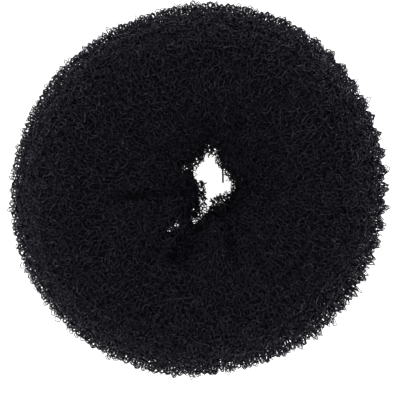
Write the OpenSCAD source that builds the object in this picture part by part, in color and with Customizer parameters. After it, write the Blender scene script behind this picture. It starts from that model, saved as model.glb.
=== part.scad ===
// Rolled mesh hair ring: a knitted nylon tube rolled up on itself into one thick soft ring.
// Lengths are in millimetres and angles in degrees. The ring lies flat with +Z up, and the
// origin is the middle of its width and depth, on the surface that it lies on.

/* [Ring] */
// Width over the rim, along X
ring_width = 100; // [84:1:120]
// Depth over the rim, along Y
ring_depth = 99; // [84:1:120]
// Height of the ring, laid flat
ring_height = 42; // [34:1:48]

/* [Hole] */
// Mean width of the hole at its waist, where the folds pinch it
hole_width = 11; // [9:0.5:17]
// How far the hole's centre lies to the right of the ring's centre
hole_right = 4.2; // [0:0.2:6]
// How far the hole's centre lies behind the ring's centre
hole_back = 0.8; // [-3:0.2:3]

/* [Roll] */
// Thickness of one turn of the rolled mesh, which shows as the step at its free edge
turn_thickness = 2.2; // [1:0.1:3]
// Width of the flat that the ring's own weight presses on its underside
rest_width = 11.5; // [6:0.5:14]

/* [Ribs and gathers] */
// Number of knitted ribs round the rim
rib_count = 62; // [40:2:72]
// Height of a rib where the ribs stand highest
rib_height = 1.2; // [0.4:0.1:2]
// Depth of the gathers that draw the mesh in round the hole
gather_depth = 1; // [0.4:0.1:1.4]

/* [Hidden] */

// Places on the roll's section, as angles from the rim over the crown to the hole and under
rim_angle = 0;
crown_angle = 90;
hole_angle = 180;
underside_angle = 270;
free_edge_angle = 225;
free_edge_spread_angle = 3;

// Each rib is one station high and one station low, and each gather takes in two ribs
station_count = 2 * rib_count;
gather_station_count = 4;
gather_spread_angle = 84;

hole_centre = [hole_right, hole_back];
roll_radius = (ring_width - hole_width) / 4;
rest_half_angle = asin(rest_width / 2 / roll_radius);
row_angle = 15;
section_rows = [
    for (place = [rim_angle:row_angle:free_edge_angle]) place,
    free_edge_angle + free_edge_spread_angle,
    free_edge_angle + row_angle,
    underside_angle - rest_half_angle,
    underside_angle,
    underside_angle + rest_half_angle,
    for (place = [underside_angle + 2 * row_angle:row_angle:360 - row_angle]) place
];

// Outline seen from above. Columns: direction from the ring's centre, share of mean radius
outline = [
    [0, 0.990], [30, 1.002], [60, 1.019], [88, 1.003], [112, 0.979], [135, 0.990],
    [165, 1.003], [190, 1.023], [210, 1.030], [240, 1.013], [258, 1.001], [282, 0.977],
    [304, 0.985], [335, 0.994]
];

// Waist of the hole seen from above, with its tail and the narrow crease beside the tail.
// Columns: direction from the hole's centre, share of mean radius
waist = [
    [0, 0.74], [26, 0.73], [42, 0.74], [60, 0.86], [70, 0.92], [84, 1.22], [94, 1.70],
    [104, 1.58], [116, 1.34], [136, 1.28], [146, 1.38], [156, 0.92], [168, 0.72],
    [195, 0.62], [210, 0.66], [217, 0.80], [220, 1.70], [223, 2.90], [226, 2.65],
    [229, 1.50], [234, 1.70], [241, 1.96], [246, 1.62], [252, 1.15], [260, 0.90], [268, 0.65],
    [295, 0.58], [310, 0.56], [322, 0.64], [336, 0.70], [350, 0.82]
];

// Crown round the ring. Columns: direction, share of full height
crown = [
    [0, 0.985], [40, 1.0], [75, 0.975], [110, 0.99], [150, 0.98], [190, 0.955],
    [220, 0.985], [245, 0.95], [270, 0.985], [290, 0.965], [330, 0.99]
];

// How strongly the ribs stand out. Columns: direction, share of rib height
rib_strength = [
    [0, 1.0], [30, 0.95], [60, 0.7], [90, 0.4], [130, 0.2], [180, 0.2], [230, 0.25],
    [260, 0.6], [290, 0.95], [320, 1.0]
];

// Folds pressed into the top. Columns: direction, place on the section, depth as a share of
// the roll's radius, half width round the ring, half width on the section
folds = [
    [68, 127, 0.09, 7, 14],
    [187, 119, 0.16, 6, 32],
    [244, 123, 0.25, 20, 20],
    [228, 112, 0.14, 10, 16],
    [288, 126, 0.14, 9, 18],
    [146, 108, 0.05, 12, 18],
    [199, 78, 0.03, 10, 18],
    [236, 80, 0.04, 12, 20]
];

function turned(angle) = [cos(angle), sin(angle)];
function wrapped(angle) = angle - 360 * floor(angle / 360);
function apart(a, b) = abs(wrapped(a - b + 180) - 180);

// 1 in the middle and 0 at the half width and beyond
function bell(distance, half_width) =
    distance >= half_width ? 0 : pow(cos(90 * distance / half_width), 2);

// A table's second column as a smooth closed curve over its first
function cubic(a, b, c, d, t) =
    b + t / 2 * (c - a + t * (2 * a - 5 * b + 4 * c - d + t * (3 * (b - c) + d - a)));
function row_before(table, at) =
    max([for (i = [0:len(table) - 1]) if (table[i][0] <= at) i]);
function along(table, angle) =
    let (
        n = len(table),
        at = wrapped(angle),
        i = row_before(table, at),
        next = (i + 1) % n,
        gap = wrapped(table[next][0] - table[i][0])
    )
    cubic(
        table[(i + n - 1) % n][1], table[i][1], table[next][1], table[(i + 2) % n][1],
        (at - table[i][0]) / gap
    );

function direction(i) = 360 * i / station_count;

// The roll is a spiral: from the free edge over the hole, crown and rim its radius shrinks by
// one turn's thickness
function spiral(place) = 1 - turn_thickness / roll_radius * wrapped(free_edge_angle - place) / 360;
function spiral_share(place, end) = spiral(place) / spiral(end);

function fold(i, place) =
    max([
        for (f = folds)
            f[2] * bell(apart(direction(i), f[0]), f[3]) * bell(apart(place, f[1]), f[4])
    ]);
function gather(i, place) =
    gather_depth / roll_radius * (1 - cos(360 * i / gather_station_count)) / 2
    * bell(apart(place, hole_angle), gather_spread_angle);
function rib(i) =
    rib_height / 2 * along(rib_strength, direction(i)) * (i % 2 == 0 ? 1 : -1);

// The rim's outline and ribs, fitted to the ring's width and depth
raw_rim = [
    for (i = [0:station_count - 1])
        (along(outline, direction(i)) + rib(i) * 2 / ring_width) * turned(direction(i))
];
function low(points, axis) = min([for (p = points) p[axis]]);
function high(points, axis) = max([for (p = points) p[axis]]);
function fitted(value, axis, size) =
    size * ((value - low(raw_rim, axis)) / (high(raw_rim, axis) - low(raw_rim, axis)) - 0.5);
rim = [for (p = raw_rim) [fitted(p.x, 0, ring_width), fitted(p.y, 1, ring_depth)]];

top_share = max([for (i = [0:station_count - 1]) along(crown, direction(i))]);
function height(i) = ring_height * along(crown, direction(i)) / top_share;

// A point on the ring: across from the waist to the rim in plan, and up from the flat
function ring_point(i, place) =
    let (
        pressed = 1 - fold(i, place) - gather(i, place),
        across = cos(place) * pressed
            * spiral_share(place, cos(place) > 0 ? rim_angle : hole_angle),
        up = sin(place) * pressed
            * spiral_share(place, sin(place) > 0 ? crown_angle : underside_angle),
        pinch = hole_width / 2 * (along(waist, direction(i)) - 1) * pow(max(0, -cos(place)), 2),
        inner = hole_centre + hole_width / 2 * turned(direction(i)),
        reach = norm(rim[i] - inner),
        plan = inner + (rim[i] - inner) / reach * (reach / 2 * (1 + across) + pinch),
        sunk = height(i) * (1 - cos(rest_half_angle)) / (1 + cos(rest_half_angle)),
        rests = apart(place, underside_angle) <= rest_half_angle
    )
    [plan.x, plan.y, rests ? 0 : max(0, (height(i) + sunk) * (1 + up) / 2 - sunk)];

module rolled_mesh() {
    rows = len(section_rows);
    points = [
        for (i = [0:station_count - 1])
            for (place = section_rows) ring_point(i, place)
    ];
    faces = [
        for (i = [0:station_count - 1])
            for (j = [0:rows - 1])
                let (
                    a = i * rows,
                    b = ((i + 1) % station_count) * rows,
                    next = (j + 1) % rows
                )
                each [[a + j, a + next, b + next], [a + j, b + next, b + j]]
    ];
    color([0.07, 0.07, 0.08])
        polyhedron(points, faces);
}

rolled_mesh();
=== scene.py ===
# Rolled mesh hair ring: a dark wound core under turns of knitted nylon filament
import bpy
import bmesh
import math
import random
from mathutils import Matrix, Vector, noise
from mathutils.bvhtree import BVHTree
from mathutils.geometry import barycentric_transform


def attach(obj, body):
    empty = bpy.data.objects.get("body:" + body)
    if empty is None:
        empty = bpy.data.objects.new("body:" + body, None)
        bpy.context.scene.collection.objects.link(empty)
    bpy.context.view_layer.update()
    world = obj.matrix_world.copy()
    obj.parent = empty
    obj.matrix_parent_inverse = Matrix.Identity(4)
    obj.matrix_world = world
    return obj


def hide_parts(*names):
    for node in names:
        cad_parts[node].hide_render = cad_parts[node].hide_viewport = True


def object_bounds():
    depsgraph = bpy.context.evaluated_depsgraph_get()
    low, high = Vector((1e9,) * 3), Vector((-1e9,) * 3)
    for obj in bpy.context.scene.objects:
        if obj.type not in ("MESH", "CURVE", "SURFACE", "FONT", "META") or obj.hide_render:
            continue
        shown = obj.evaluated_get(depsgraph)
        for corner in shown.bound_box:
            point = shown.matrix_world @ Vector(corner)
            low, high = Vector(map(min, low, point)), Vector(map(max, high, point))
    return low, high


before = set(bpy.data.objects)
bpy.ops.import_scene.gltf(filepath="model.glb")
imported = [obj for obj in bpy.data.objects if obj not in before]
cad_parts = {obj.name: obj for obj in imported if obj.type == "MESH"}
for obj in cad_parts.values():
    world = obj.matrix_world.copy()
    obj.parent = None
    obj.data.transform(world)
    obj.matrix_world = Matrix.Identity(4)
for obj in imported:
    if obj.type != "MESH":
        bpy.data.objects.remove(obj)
cadLow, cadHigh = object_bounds()
mm = 0.001
turn = 2 * math.pi
crinkleSeed = 5
noise.seed_set(crinkleSeed)  # the crinkles come out the same on every run

# The roll's middle line is a level circle, half way between the hole and the rim
roll = {
    "node": "rolled_mesh",
    "middle": Vector((2.1 * mm, 0.4 * mm, (cadLow.z + cadHigh.z) / 2)),
    "middleRadius": 27.9 * mm,
    "thickRadius": 21.5 * mm,
    "weldWithin": 0.001 * mm,
}

# How far the wound core lies under the ring's surface: loose at the rim, tight in the hole
looseness = {"crown": 1.9 * mm, "rim": 4.6 * mm, "hole": 2.6 * mm}

# The rim by direction round the ring, in degrees: how loose its mesh hangs and how far its ribs
# stand out, both as shares, and how far the whole rim hangs in
rimByDirection = [
    (0, 1.05, 0.7, 0.45 * mm), (45, 0.8, 0.4, 0.6 * mm), (90, 1.0, 0.3, 0.5 * mm),
    (135, 0.85, 0.1, 0.45 * mm), (180, 0.6, 0.1, 0.4 * mm), (225, 0.6, 0.1, 0.4 * mm),
    (255, 0.8, 0.3, -0.1 * mm), (275, 0.9, 0.5, 0.2 * mm), (300, 1.2, 1.0, -0.1 * mm),
    (330, 1.6, 1.0, 0.5 * mm), (360, 1.05, 0.7, 0.45 * mm),
]


def atDirection(table, around):
    degrees = math.degrees(around) % 360
    for before, after in zip(table, table[1:]):
        if degrees < after[0]:
            share = (degrees - before[0]) / (after[0] - before[0])
            return [a + (b - a) * share for a, b in zip(before[1:], after[1:])]


# One closed skin of the ring, to shoot rays at
skin = bmesh.new()
skin.from_mesh(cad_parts[roll["node"]].data)
bmesh.ops.remove_doubles(skin, verts=skin.verts, dist=roll["weldWithin"])
bmesh.ops.triangulate(skin, faces=skin.faces)
skin.normal_update()
skin.faces.ensure_lookup_table()
ringSurface = BVHTree.FromBMesh(skin)
print("Skin of the ring:", len(skin.faces), "faces")


# The narrow crease beside the hole's tail, in degrees round the ring. The knitted turns span
# all of it, and the core its wide end: each reaches as far as the surface a step to either side
crease = {"meshFrom": 224, "meshTo": 242, "coreFrom": 234, "coreTo": 243, "step": 3.5}


def reachOf(around, place):
    # around goes round the ring; place goes round the roll, from 0 at the rim over the crown
    out = Vector((math.cos(around), math.sin(around), 0))
    ray = out * math.cos(place) + Vector((0, 0, math.sin(place)))
    start = roll["middle"] + out * roll["middleRadius"]
    hit, flat, face, reach = ringSurface.ray_cast(start, ray)
    corners = skin.faces[face].verts
    normal = barycentric_transform(hit, *[v.co for v in corners], *[v.normal for v in corners])
    return start, ray, reach, normal.normalized()


def onRing(around, place, lift, part="mesh", proud=0):
    # lift goes out along the roll's radius, but in the hole square to the surface, as proud does
    start, ray, reach, normal = reachOf(around, place)
    if crease[part + "From"] < math.degrees(around) % 360 < crease[part + "To"]:
        step = math.radians(crease["step"])
        reach = max(reach, reachOf(around - step, place)[2], reachOf(around + step, place)[2])
    else:
        holeward = max(0, -math.cos(place)) ** 2
        proud += lift * holeward
        lift *= 1 - holeward
    return start + ray * (reach + lift) + normal * proud


# Gaps that light comes through, each by its place and radius in mm: at the crease and in the
# hole's tail, and pinholes by chance along lines at the hole's edge, which have a half width and
# a number of holes. A gap leans to the camera as it goes up, and pushes aside what it meets
gaps = {
    "at": [
        ((-5.95, -9.63), 0.9), ((-7.6, -10.85), 0.6),
        ((-0.5, -6.85), 1.6), ((-1.5, -7.75), 1.4),
    ],
    "lean": 4,  # one over the camera's distance in metres
    "kept": 0.75,  # share of the radius that stays clear
    "pinholes": [
        ((0.3, 1.6), (0.2, -4.6), 0.6, 44),
        ((1.4, 10.5), (4.0, 11.0), 0.7, 20),
        ((5.5, -3.3), (8.4, -2.4), 0.6, 20),
    ],
    "pinholeRadius": (0.3, 0.5),
    "seed": 19,
    "middle": Vector((4.2 * mm, 0.8 * mm)),
    "reach": 18 * mm,
}
chance = random.Random(gaps["seed"])
for first, last, width, count in gaps["pinholes"]:
    for n in range(count):
        x, y = Vector(first).lerp(Vector(last), chance.random())
        x += chance.uniform(-width, width)
        y += chance.uniform(-width, width)
        gaps["at"].append(((x, y), chance.uniform(*gaps["pinholeRadius"])))


def pushedOut(at):
    if (at.xy - gaps["middle"]).length > gaps["reach"]:
        return at
    for middle, radius in gaps["at"]:
        axis = Vector(middle) * mm * (1 - (at.z - roll["middle"].z) * gaps["lean"])
        away = at.xy - axis
        if away.length < radius * mm:
            share = gaps["kept"] + (1 - gaps["kept"]) * away.length / radius / mm
            away *= share * radius * mm / away.length
            at.xy = axis + away
    return at


def planRadius(place):
    return roll["middleRadius"] + roll["thickRadius"] * math.cos(place)


def looseDepth(around, place):
    side = math.cos(place)
    end = looseness["hole"]
    if side > 0:
        end = looseness["rim"] * atDirection(rimByDirection, around)[0]
    return looseness["crown"] + (end - looseness["crown"]) * side * side


# Every face gets a square of its own on one UV map
bakeSquares = {"name": "OFBake", "low": 0.1, "high": 0.9}


def unwrapFaces(mesh):
    while mesh.uv_layers:
        mesh.uv_layers.remove(mesh.uv_layers[0])
    squares = mesh.uv_layers.new(name=bakeSquares["name"])
    across = math.ceil(math.sqrt(len(mesh.polygons)))
    low, high = bakeSquares["low"], bakeSquares["high"]
    corners = ((low, low), (high, low), (high, high), (low, high))
    spots = []
    for face in mesh.polygons:
        row, column = divmod(face.index, across)
        for u, v in corners[:face.loop_total]:
            spots += ((column + u) / across, (row + v) / across)
    squares.uv.foreach_set("vector", spots)


def addPiece(name, mesh, look):
    unwrapFaces(mesh)
    mesh.materials.append(look)
    mesh.polygons.foreach_set("use_smooth", [True] * len(mesh.polygons))
    piece = bpy.data.objects.new(name, mesh)
    bpy.context.scene.collection.objects.link(piece)
    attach(piece, "root")
    print(name, sum(len(p.vertices) - 2 for p in mesh.polygons), "triangles")
    return piece


def setSockets(node, values):
    for socket, value in values.items():
        node.inputs[socket].default_value = value


# What every nylon finish shares: the noise of its dye and painted glints, and the spans of it over
# which the dark colour turns light and the roughness goes from its first value to its second. The
# light spots of this noise are partly the nylon's own uneven dye and partly painted glints, short
# highlights painted along the strands
nylon = {
    "dyeAndGlintDetail": 1.5,
    "dyeAndGlintSpan": (0.5, 0.64),
    "polishSpan": (0.42, 0.6),
    "ior": 1.53,
    "sheenTint": (0.80, 0.74, 1.0, 1),
}


def nylonFilament(name, finish):
    look = bpy.data.materials.new(name)
    look.use_nodes = True
    nodes, links = look.node_tree.nodes, look.node_tree.links
    shader = nodes["Principled BSDF"]
    setSockets(shader, {
        "Base Color": (*finish["dark"], 1),
        "IOR": nylon["ior"],
        "Specular IOR Level": finish["sheen"],
        "Specular Tint": nylon["sheenTint"],
    })
    coords = nodes.new("ShaderNodeTexCoord")
    # its light spots are partly uneven dye and partly painted glints along the strands
    dyeAndGlints = nodes.new("ShaderNodeTexNoise")
    setSockets(dyeAndGlints, {"Scale": finish["patchesPerMetre"], "Detail": nylon["dyeAndGlintDetail"]})
    shade = nodes.new("ShaderNodeValToRGB")
    for k, colour in enumerate(("dark", "light")):
        shade.color_ramp.elements[k].position = nylon["dyeAndGlintSpan"][k]
        shade.color_ramp.elements[k].color = (*finish[colour], 1)
    polish = nodes.new("ShaderNodeMapRange")
    setSockets(polish, {
        "From Min": nylon["polishSpan"][0],
        "From Max": nylon["polishSpan"][1],
        "To Min": finish["roughness"][0],
        "To Max": finish["roughness"][1],
    })
    grain = nodes.new("ShaderNodeTexNoise")
    setSockets(grain, {"Scale": finish["grainsPerMetre"]})
    relief = nodes.new("ShaderNodeBump")
    setSockets(relief, {"Strength": finish["relief"], "Distance": finish["grainDepth"]})
    links.new(coords.outputs["Object"], dyeAndGlints.inputs["Vector"])
    links.new(coords.outputs["Object"], grain.inputs["Vector"])
    links.new(dyeAndGlints.outputs["Fac"], shade.inputs["Fac"])
    links.new(shade.outputs["Color"], shader.inputs["Base Color"])
    links.new(dyeAndGlints.outputs["Fac"], polish.inputs["Value"])
    links.new(polish.outputs["Result"], shader.inputs["Roughness"])
    links.new(grain.outputs["Fac"], relief.inputs["Height"])
    links.new(relief.outputs["Normal"], shader.inputs["Normal"])
    return look


# The finishes are near black, a little blue, and what lies deeper is duller. They are copies of
# one nylon with painted light and shade in their colours: the rim, brow and throat copies are
# painted lighter, for the light the white floor gives the rim and against the shade in the hole,
# and the inner copy is painted darker, as shade for its depth. Each knitted one starts from the
# values of knit
knit = {
    "patchesPerMetre": 1600, "roughness": (0.9, 0.35), "sheen": 0.4,
    "grainsPerMetre": 2600, "relief": 0.3, "grainDepth": 0.03 * mm,
}
finishesAndPaintedLight = {
    # painted light: lighter than the crown, for the light the white floor gives the rim
    "rim": {**knit, "dark": (0.0182, 0.0169, 0.0242), "light": (0.0450, 0.0418, 0.0599)},
    "crown": {**knit, "dark": (0.0074, 0.0069, 0.0098), "light": (0.0265, 0.0246, 0.0352)},
    # painted light: lighter than the crown, against the shade in the hole
    "throat": {
        **knit, "dark": (0.0085, 0.0079, 0.0119), "light": (0.042, 0.0392, 0.053),
        "roughness": (0.9, 0.25),
    },
    # painted shade: darker than the crown, for the depth of the second turn
    "inner": {
        **knit, "dark": (0.008, 0.0074, 0.0109), "light": (0.0165, 0.0152, 0.0218),
        "sheen": 0.35,
    },
    # painted light: lighter than the crown, for the light the white floor gives the rim
    "brow": {
        **knit, "dark": (0.023, 0.0215, 0.0295), "light": (0.037, 0.0347, 0.0468),
        "sheen": 0.35,
    },
    "core": {
        "dark": (0.009, 0.0083, 0.0119), "light": (0.017, 0.0157, 0.0217),
        "patchesPerMetre": 600, "roughness": (0.85, 0.95), "sheen": 0.16,
        "grainsPerMetre": 1500, "relief": 0.6, "grainDepth": 0.3 * mm,
    },
}
looks = {name: nylonFilament(name + "Nylon", finish) for name, finish in finishesAndPaintedLight.items()}
print("Finishes:", ", ".join(looks))

# The wound core: lumps stand on its surface, and patches of it lie deeper or less deep
core = {
    "stations": 186,
    "rows": 64,
    "lump": 0.35 * mm,
    "lumpsPerMetre": 400,
    "patch": 0.9,
    "patchesPerMetre": 180,
    "deepest": 5 * mm,
}


def faceOrder(face):
    # spin leaves its faces in an order of its own on each run; this puts them in one and the same
    corners = [v.index for v in face.verts]
    return min(corners) * core["stations"] * core["rows"] + max(corners)


def woundCore():
    bm = bmesh.new()
    bmesh.ops.create_circle(bm, segments=core["rows"], radius=roll["thickRadius"])
    bmesh.ops.rotate(bm, verts=bm.verts, matrix=Matrix.Rotation(turn / 4, 3, "X"))
    bmesh.ops.translate(bm, verts=bm.verts, vec=(roll["middleRadius"], 0, 0))
    bmesh.ops.spin(
        bm, geom=bm.verts[:] + bm.edges[:], cent=(0, 0, 0), axis=(0, 0, 1),
        angle=turn, steps=core["stations"], use_merge=True,
    )
    bm.verts.index_update()
    bm.faces.sort(key=faceOrder)
    for v in bm.verts:
        around = math.atan2(v.co.y, v.co.x)
        place = math.atan2(v.co.z, math.hypot(v.co.x, v.co.y) - roll["middleRadius"])
        lump = noise.noise(v.co * core["lumpsPerMetre"]) * core["lump"]
        patch = 1 + noise.noise(v.co * core["patchesPerMetre"]) * core["patch"]
        depth = min(looseDepth(around, place) * patch, core["deepest"])
        v.co = pushedOut(onRing(around, place, lump - depth, "core"))
    bmesh.ops.recalc_face_normals(bm, faces=bm.faces)
    mesh = bpy.data.meshes.new("woundCore")
    bm.to_mesh(mesh)
    bm.free()
    return addPiece("woundCore", mesh, looks["core"])


corePiece = woundCore()
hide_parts(roll["node"])
print("Core: wound")

# How far chance bends a stitch
stitch = {
    "fewestWales": 16,
    "head": (0.3, 0.95),  # head and foot are shares of the stitch's height
    "foot": (0.35, 0.9),
    "bulge": (0.14, 0.38),  # bulge, lean and wander are shares of its width
    "lean": 0.5,
    "wander": 0.35,
    "crossing": (-0.25 * mm, 0.35 * mm),  # how its legs pass over and under
    "proud": (0.2 * mm, 0.8 * mm),  # some stitches stand up from the rest
    "proudShare": 0.1,
    "fringe": (-3.0 * mm, 0.9 * mm),  # in the hole they hang out of the wall or lie in it
    "fringeRarity": 1.7,  # the higher, the fewer hang far out
    "rimReach": 1.5,  # at the rim they are taller, and their feet sink and their heads stand out
    "sink": (0.5 * mm, 3.0 * mm),
    "nib": (0, 0.9 * mm),
    "inLine": 0.6,  # share of lean and wander that the rim takes away
    "tooth": 0.45 * mm,  # the rim's ribs
    "teeth": 62,
    "crinkle": 0.4 * mm,
    "crinklesPerMetre": 850,
    "lump": 0.6 * mm,
    "lumpsPerMetre": 400,
}


def fringeReach(chance):
    deepest, furthest = stitch["fringe"]
    return deepest + (furthest - deepest) * chance.random() ** stitch["fringeRarity"]


def between(values, w, share):
    # from one stitch's value to the next one's
    return values[w] + (values[(w + 1) % len(values)] - values[w]) * share


def course(place, layer, chance):
    # one closed row of stitches round the ring
    radius = planRadius(place)
    wales = min(layer["wales"], round(turn * radius / layer["wide"]))
    wales = max(stitch["fewestWales"], wales)
    wide = turn * radius / wales
    rimward = max(0, math.cos(place)) ** 2
    edge = rimward ** 2
    tall = layer["tall"] * (1 + (stitch["rimReach"] - 1) * rimward)
    feet = [chance.uniform(*stitch["foot"]) * tall for w in range(wales)]
    sinks = [chance.uniform(*stitch["sink"]) * edge for w in range(wales)]
    hangs = [fringeReach(chance) if layer["fringed"] else 0 for w in range(wales)]
    path = []
    for w in range(wales):
        loose, tooth, inset = atDirection(rimByDirection, turn * (w + 0.5) / wales)
        head = chance.uniform(*stitch["head"]) * tall
        bulge = chance.uniform(*stitch["bulge"]) * wide
        crossing = chance.uniform(*stitch["crossing"])
        rise = chance.uniform(*layer["rise"]) * (1 - edge)
        nib = chance.uniform(*stitch["nib"]) * edge
        if chance.random() < stitch["proudShare"]:
            rise += chance.uniform(*stitch["proud"])
        if layer["fringed"]:
            rise = fringeReach(chance)
        stray = 1 - stitch["inLine"] * edge
        lean = chance.uniform(-1, 1) * stitch["lean"] * wide * stray
        dx = chance.uniform(-1, 1) * stitch["wander"] * wide * stray
        dy = chance.uniform(-1, 1) * stitch["wander"] * layer["tall"]
        for k in range(layer["points"]):
            # up is 0 at the stitch's two feet and 1 at its head
            share = k / layer["points"]
            t = turn * share
            up = math.sin(t / 2) ** 2
            around = (wide * (w + share) + bulge * math.sin(2 * t) + dx * up) / radius
            along = (head + dy) * up - between(feet, w, share) * (1 - up) + lean * math.sin(t)
            proud = rise * up + between(hangs, w, share) * (1 - up) + crossing * math.cos(2 * t)
            lift = (nib * up ** 3 - between(sinks, w, share) * (1 - up)) * loose
            lift += stitch["tooth"] * tooth * rimward * math.cos(stitch["teeth"] * around)
            lift -= layer["depth"] * looseDepth(around, place) + inset * edge
            at = onRing(around, place + along / roll["thickRadius"], lift, proud=proud)
            outward = (at - roll["middle"]).normalized()
            at += outward * noise.noise(at * stitch["lumpsPerMetre"]) * stitch["lump"]
            crinkle = noise.noise_vector(at * stitch["crinklesPerMetre"])
            at += crinkle * stitch["crinkle"] * layer["crinkle"]
            at.z = max(at.z, layer["filament"] / 2)
            path.append(pushedOut(at))
    return path


# A closed course runs straight from point to point; a bare strand curves in a few steps
strand = {"sides": 3, "stepsPerPoint": 4}


def filamentMesh(name, paths, thick, loop=True):
    curve = bpy.data.curves.new(name, "CURVE")
    curve.dimensions = "3D"
    curve.resolution_u = strand["stepsPerPoint"]
    for path in paths:
        spline = curve.splines.new("POLY" if loop else "NURBS")
        spline.points.add(len(path) - 1)
        spline.points.foreach_set("co", [c for p in path for c in (*p, 1)])
        spline.use_cyclic_u = loop
        spline.use_endpoint_u = not loop
    profile = bpy.data.curves.new(name + "Profile", "CURVE")
    side = profile.splines.new("POLY")
    side.points.add(strand["sides"] - 1)
    side.use_cyclic_u = True
    for k, p in enumerate(side.points):
        angle = turn * k / strand["sides"]
        p.co = (math.cos(angle) * thick / 2, math.sin(angle) * thick / 2, 0, 1)
    ring = bpy.data.objects.new(name + "Profile", profile)
    raw = bpy.data.objects.new(name + "Path", curve)
    bpy.context.scene.collection.objects.link(ring)
    bpy.context.scene.collection.objects.link(raw)
    curve.bevel_mode = "OBJECT"
    curve.bevel_object = ring
    bpy.context.view_layer.update()
    finished = raw.evaluated_get(bpy.context.evaluated_depsgraph_get())
    mesh = bpy.data.meshes.new_from_object(finished)
    mesh.name = name
    for obj in (raw, ring):
        bpy.data.objects.remove(obj)
    return mesh


# The turns of mesh, outermost first. depth is a share of the way down to the core, and wide and
# tall are a stitch's size. Each stretch is a piece that covers part of the roll, in degrees from
# the rim over the crown
usualTurn = {
    "depth": 0.05, "wales": 132, "points": 8, "rise": (-0.6 * mm, 0.6 * mm),
    "filament": 0.3 * mm, "crinkle": 1, "fringed": False,
}
layers = [
    {
        **usualTurn, "name": "outerTurn", "wide": 2.1 * mm, "tall": 1.75 * mm,
        "points": 10, "filament": 0.38 * mm, "look": "crown", "seed": 11,
        "stretches": {"Crown": (44, 112), "Under": (225, 310)},
    },
    {
        **usualTurn, "name": "outerTurn", "wide": 1.55 * mm, "tall": 1.5 * mm,
        "wales": 196, "filament": 0.27 * mm, "look": "rim", "seed": 17,
        "stretches": {"Rim": (310, 370), "Brow": (370, 404)},
    },
    {
        **usualTurn, "name": "gathered", "wide": 1.7 * mm, "tall": 1.5 * mm,
        "points": 9, "rise": (-0.6 * mm, 0.7 * mm), "filament": 0.34 * mm,
        "look": "crown", "seed": 16, "stretches": {"Shoulder": (112, 150)},
    },
    {
        **usualTurn, "name": "gathered", "depth": 0, "wide": 1.1 * mm, "tall": 1.3 * mm,
        "rise": (0, 0), "crinkle": 2, "fringed": True,
        "look": "throat", "seed": 14, "stretches": {"Throat": (150, 225)},
    },
    {
        **usualTurn, "name": "secondTurn", "depth": 0.55, "wide": 2.1 * mm, "tall": 2.1 * mm,
        "wales": 118, "look": "inner", "seed": 12,
        "stretches": {"Top": (70, 165), "Under": (200, 340)},
    },
    {
        **usualTurn, "name": "secondTurn", "depth": 0.55, "wide": 2.1 * mm, "tall": 2.1 * mm,
        "wales": 118, "look": "brow", "seed": 15,
        "stretches": {"Rim": (340, 380), "Brow": (380, 430)},
    },
    {
        **usualTurn, "name": "thirdTurn", "depth": 0.85, "wide": 2.4 * mm, "tall": 2.4 * mm,
        "wales": 118, "look": "brow", "seed": 13,
        "stretches": {"Rim": (-55, 55)},
    },
]

for layer in layers:
    chance = random.Random(layer["seed"])
    courses = round(turn * roll["thickRadius"] / layer["tall"])
    places = [360 * (c + 0.5) / courses for c in range(-courses, 2 * courses)]
    for stretch, (first, last) in layer["stretches"].items():
        paths = [course(math.radians(p), layer, chance) for p in places if first <= p < last]
        name = layer["name"] + stretch
        addPiece(name, filamentMesh(name, paths, layer["filament"]), looks[layer["look"]])
print("Turns: knitted")

# Small loose loops that fringe the hole, along lines given in mm by their two ends, half width
# and number of loops: thick over its tail and top corner, thin along its sides
fringe = {
    "stretches": [
        ((1.0, -4.0), (-1.3, -7.9), 1.4, 90),
        ((1.4, 9.6), (4.2, 10.4), 1.0, 40),
        ((3.0, -3.3), (7.8, -1.5), 0.7, 40),
        ((0.9, 2.2), (1.4, -3.0), 0.8, 48),
        ((-2.4, 5.2), (1.6, 8.5), 0.6, 24),
        ((4.5, 9.3), (9.2, 1.0), 0.5, 20),
    ],
    "heights": (9 * mm, 30 * mm),
    "curl": 0.5 * mm,
    "points": 5,
    "filament": 0.3 * mm,
    "seed": 18,
}


def fringeLoops():
    chance = random.Random(fringe["seed"])
    paths = []
    for first, last, width, loops in fringe["stretches"]:
        first, last = Vector((*first, 0)) * mm, Vector((*last, 0)) * mm
        for n in range(loops):
            middle = first.lerp(last, chance.random())
            middle += Vector((chance.uniform(-1, 1), chance.uniform(-1, 1), 0)) * width * mm
            middle.z = chance.uniform(*fringe["heights"])
            path = []
            for k in range(fringe["points"]):
                curl = [chance.uniform(-1, 1) * fringe["curl"] for axis in range(3)]
                path.append(middle + Vector(curl))
            paths.append(path)
    return paths


loops = filamentMesh("fringeLoops", fringeLoops(), fringe["filament"], loop=False)
# the loops take the throat's lightened copy of the nylon, painted light
addPiece("fringeLoops", loops, looks["throat"])
print("Fringe: laid round the hole")

# Two strands that have come loose, by points in mm: one hangs in the hole, one lies on the crown
looseStrands = {
    "inHole": [(6.0, 7.6, 29), (6.15, 5.8, 27), (6.25, 4.0, 26), (6.3, 2.7, 25.5), (6.3, 1.6, 25)],
    "onCrown": [(-8.4, -27.4), (-6.8, -27.15), (-5.1, -26.95), (-3.3, -26.7), (-1.5, -26.45)],
    "thick": 0.6 * mm,
    "lift": 0.45 * mm,
    "dropFrom": 1,  # metres up, well above the ring
}


def onTop(x, y):
    above = Vector((x * mm, y * mm, looseStrands["dropFrom"]))
    surface = ringSurface.ray_cast(above, Vector((0, 0, -1)))[0]
    return surface + Vector((0, 0, looseStrands["lift"]))


hanging = [Vector(p) * mm for p in looseStrands["inHole"]]
lying = [onTop(x, y) for x, y in looseStrands["onCrown"]]
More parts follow.
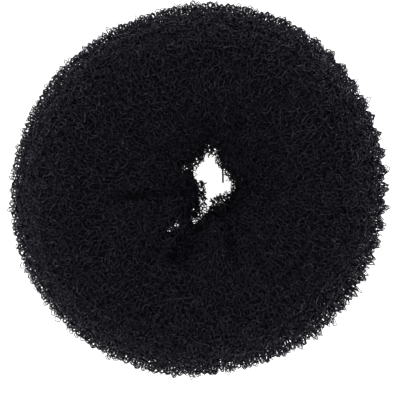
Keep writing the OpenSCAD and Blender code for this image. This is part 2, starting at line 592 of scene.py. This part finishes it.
# the crown strand takes the throat's lightened copy, painted light that shows it lighter; the
# strand in the hole takes the darkened inner copy, painted shade
for name, path, look in (("hangingStrand", hanging, "inner"), ("crownStrand", lying, "throat")):
    mesh = filamentMesh(name, [path], looseStrands["thick"], loop=False)
    addPiece(name, mesh, looks[look])
print("Strands: one in the hole, one on the crown")

# White paper that glows, so that it shows white right up to the ring
paper = {"colour": (0.9, 0.9, 0.9, 1), "roughness": 0.9, "glow": 0.97, "halfSide": 3}
white = (1, 1, 1, 1)


def paperFloor():
    look = bpy.data.materials.new("paper")
    look.use_nodes = True
    setSockets(look.node_tree.nodes["Principled BSDF"], {
        "Base Color": paper["colour"],
        "Roughness": paper["roughness"],
        "Emission Color": white,
        "Emission Strength": paper["glow"],
    })
    bm = bmesh.new()
    bmesh.ops.create_grid(bm, x_segments=1, y_segments=1, size=paper["halfSide"])
    mesh = bpy.data.meshes.new("floor")
    bm.to_mesh(mesh)
    bm.free()
    mesh.materials.append(look)
    sheet = bpy.data.objects.new("floor", mesh)
    bpy.context.scene.collection.objects.link(sheet)
    return sheet


floor = paperFloor()

# Soft light from all sides and from above, in metres and watts. The camera sees the backdrop
# white, and the ring gets only a little fill from it
studio = {
    "fill": 0.06,
    "lampSize": 0.3,
    "lamps": {
        "left": ((-0.9, 0.0, 0.5), 2.0),
        "right": ((0.9, 0.0, 0.5), 2.0),
        "back": ((0.0, 0.9, 0.4), 2.1),
        "front": ((0.0, -0.8, 0.7), 2.2),
        "top": ((0.0, 0.0, 1.2), 2.5),
    },
}


def whiteBackdrop():
    world = bpy.data.worlds.new("studio")
    bpy.context.scene.world = world
    world.use_nodes = True
    nodes, links = world.node_tree.nodes, world.node_tree.links
    dim = nodes["Background"]
    setSockets(dim, {"Color": white, "Strength": studio["fill"]})
    seen = nodes.new("ShaderNodeBackground")
    setSockets(seen, {"Color": white})
    rays = nodes.new("ShaderNodeLightPath")
    either = nodes.new("ShaderNodeMixShader")
    links.new(rays.outputs["Is Camera Ray"], either.inputs["Fac"])
    links.new(dim.outputs["Background"], either.inputs[1])
    links.new(seen.outputs["Background"], either.inputs[2])
    links.new(either.outputs["Shader"], nodes["World Output"].inputs["Surface"])


whiteBackdrop()
for name, (place, power) in studio["lamps"].items():
    light = bpy.data.lights.new(name, "AREA")
    light.size = studio["lampSize"]
    light.energy = power
    lamp = bpy.data.objects.new(name, light)
    lamp.location = place
    lamp.rotation_euler = (-Vector(place)).to_track_quat("-Z", "Y").to_euler()
    bpy.context.scene.collection.objects.link(lamp)

# The photograph looks straight down. The ring is 378 of its 400 pixels wide, and stands a
# little above the middle
photo = {"side": 400, "ringWidth": 378, "ringCentre": (199, 189), "lens": 85}
camera = bpy.data.cameras.new("camera")
camera.lens = photo["lens"]
pixel = (cadHigh.x - cadLow.x) / photo["ringWidth"]
cameraObj = bpy.data.objects.new("camera", camera)
cameraObj.location = (
    (photo["side"] / 2 - photo["ringCentre"][0]) * pixel,
    (photo["ringCentre"][1] - photo["side"] / 2) * pixel,
    roll["middle"].z + pixel * photo["side"] * camera.lens / camera.sensor_width,
)
bpy.context.scene.collection.objects.link(cameraObj)
bpy.context.scene.camera = cameraObj
bpy.context.scene.view_settings.view_transform = "Standard"
print("Paper, light and camera: set")
